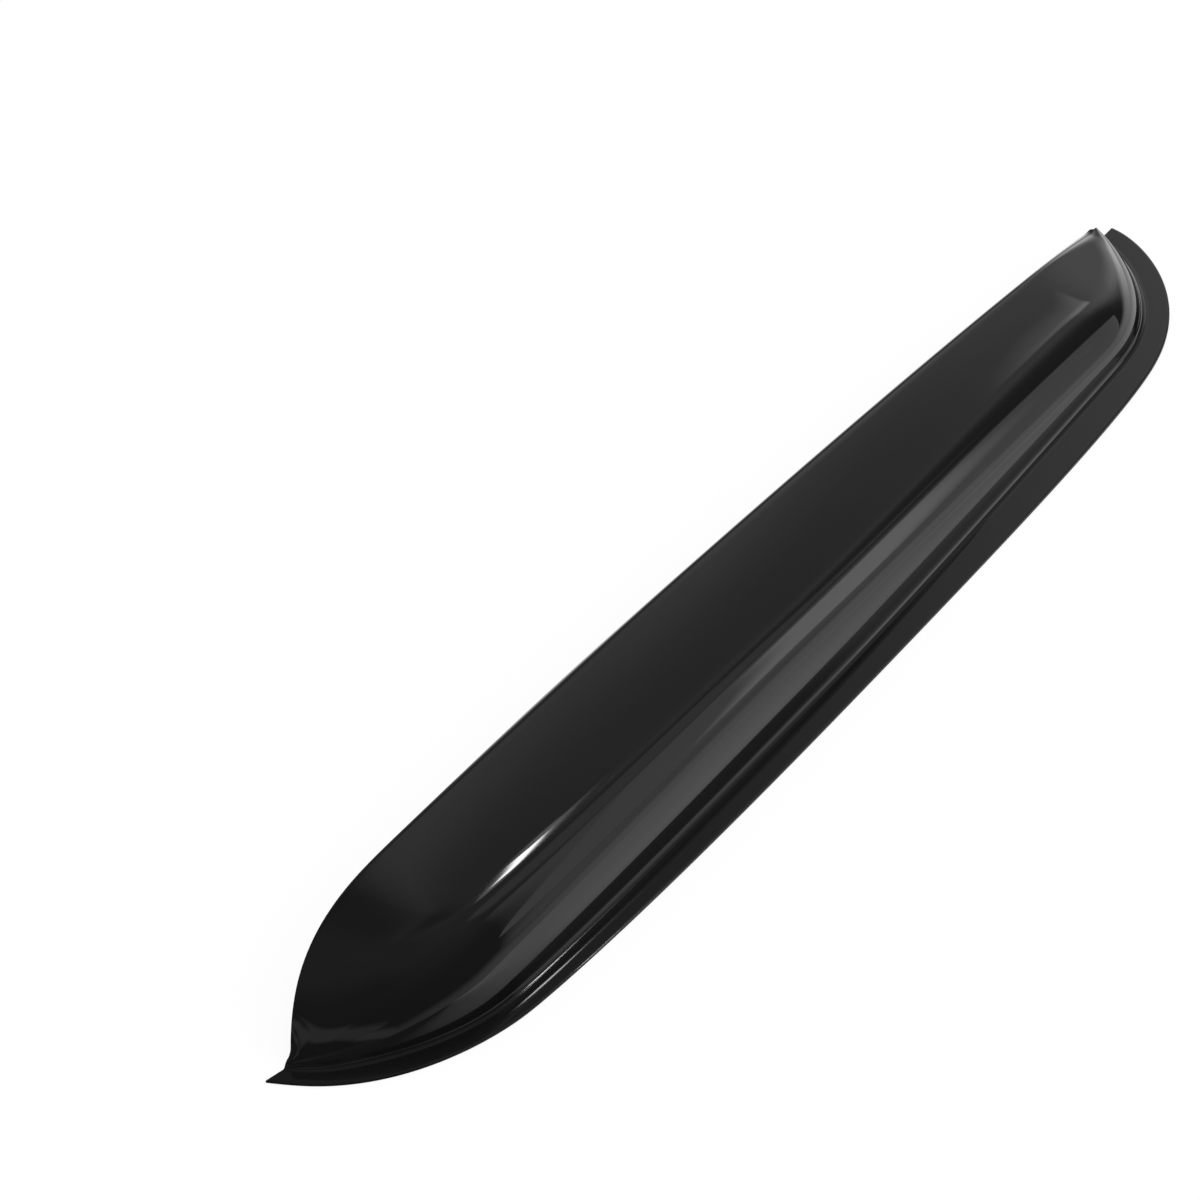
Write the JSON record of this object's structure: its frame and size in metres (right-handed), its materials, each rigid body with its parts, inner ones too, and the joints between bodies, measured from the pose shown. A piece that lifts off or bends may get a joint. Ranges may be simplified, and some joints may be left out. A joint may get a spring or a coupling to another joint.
{
  "type": "window rain deflector",
  "caption": "Curved gloss-black acrylic rain deflector for a front side window, with a flat flange to tape on and a raised channel along the glass.",
  "frame": {"origin": "centre of the outline on the plane of the flange's back, which is the surface that the part lies on", "axes": "+X along the length from the high front end to the low rear end, +Y from the flange towards the free edge over the glass, +Z away from the door, towards the top of the channel"},
  "size_m": [0.929, 0.1232, 0.0578],
  "materials": {
    "gloss_acrylic": "polished, opaque black"
  },
  "bodies": {
    "root": {"deflector_shell": "gloss_acrylic"}
  },
  "joints": []
}
